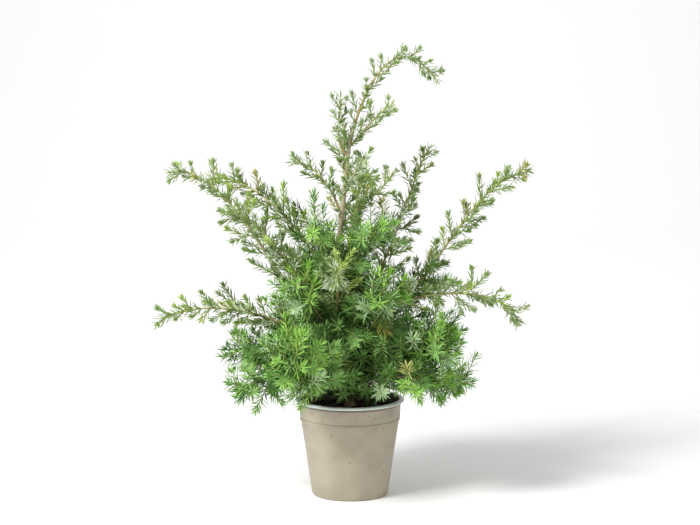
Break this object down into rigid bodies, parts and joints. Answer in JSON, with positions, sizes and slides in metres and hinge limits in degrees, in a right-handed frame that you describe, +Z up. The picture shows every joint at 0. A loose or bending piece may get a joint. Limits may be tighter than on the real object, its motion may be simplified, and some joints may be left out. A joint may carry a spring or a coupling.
{
  "type": "potted juniper",
  "caption": "Young Chinese juniper in a round plastic nursery pot, with a leaning leader, long arching shoots and a dense spreading crown of needle foliage.",
  "frame": {"origin": "centre of the pot's flat underside", "axes": "+Z up along the pot's axis; -Y is the front that the picture shows; +X to the right seen from the front"},
  "size_m": [0.3088, 0.2287, 0.3727],
  "materials": {
    "pot_plastic": "moulded taupe plastic, slightly satin",
    "peat": "dark moist peat",
    "bark": "thin red-brown bark",
    "green_wood": "young green-brown bark",
    "needles_green": "fresh green needles",
    "needles_blue_green": "grey-green needles"
  },
  "bodies": {
    "root": {"pot": "pot_plastic", "soil": "peat", "trunk": "bark", "bough_west_arch": "green_wood", "bough_west_mid": "green_wood", "bough_west_low": "green_wood", "bough_east_arch": "green_wood", "bough_east_nod": "green_wood", "bough_east_upright": "green_wood", "bough_north_arch": "green_wood", "bough_north_low": "green_wood", "bough_south_arch": "green_wood", "bough_skirt_1": "green_wood", "bough_skirt_2": "green_wood", "bough_skirt_3": "green_wood", "bough_skirt_4": "green_wood", "bough_skirt_5": "green_wood", "bough_skirt_6": "green_wood", "bough_waist_1": "green_wood", "bough_waist_2": "green_wood", "bough_waist_3": "green_wood", "bough_waist_4": "green_wood", "bough_waist_5": "green_wood", "foliage_leader_tip": "needles_blue_green", "foliage_west_arch": "needles_blue_green", "foliage_west_inner": "needles_blue_green", "foliage_west_mid": "needles_blue_green", "foliage_west_low": "needles_blue_green", "foliage_east_arch": "needles_blue_green", "foliage_east_nod": "needles_blue_green", "foliage_east_upright": "needles_blue_green", "foliage_north_arch": "needles_blue_green", "foliage_north_low": "needles_blue_green", "foliage_south_arch": "needles_blue_green", "foliage_sprig_1": "needles_blue_green", "foliage_sprig_2": "needles_blue_green", "foliage_sprig_3": "needles_blue_green", "foliage_sprig_4": "needles_blue_green", "foliage_sprig_5": "needles_blue_green", "foliage_sprig_6": "needles_blue_green", "foliage_skirt_1": "needles_green", "foliage_skirt_2": "needles_green", "foliage_skirt_3": "needles_green", "foliage_skirt_4": "needles_green", "foliage_skirt_5": "needles_green", "foliage_skirt_6": "needles_green", "foliage_waist_1": "needles_green", "foliage_waist_2": "needles_green", "foliage_waist_3": "needles_green", "foliage_waist_4": "needles_green", "foliage_waist_5": "needles_green", "foliage_shoulder_1": "needles_green", "foliage_shoulder_2": "needles_green", "foliage_shoulder_3": "needles_green", "foliage_shoulder_4": "needles_green", "foliage_shoulder_5": "needles_green", "foliage_crown_1": "needles_green", "foliage_crown_2": "needles_green", "foliage_crown_3": "needles_green", "foliage_crown_4": "needles_green"}
  },
  "joints": []
}
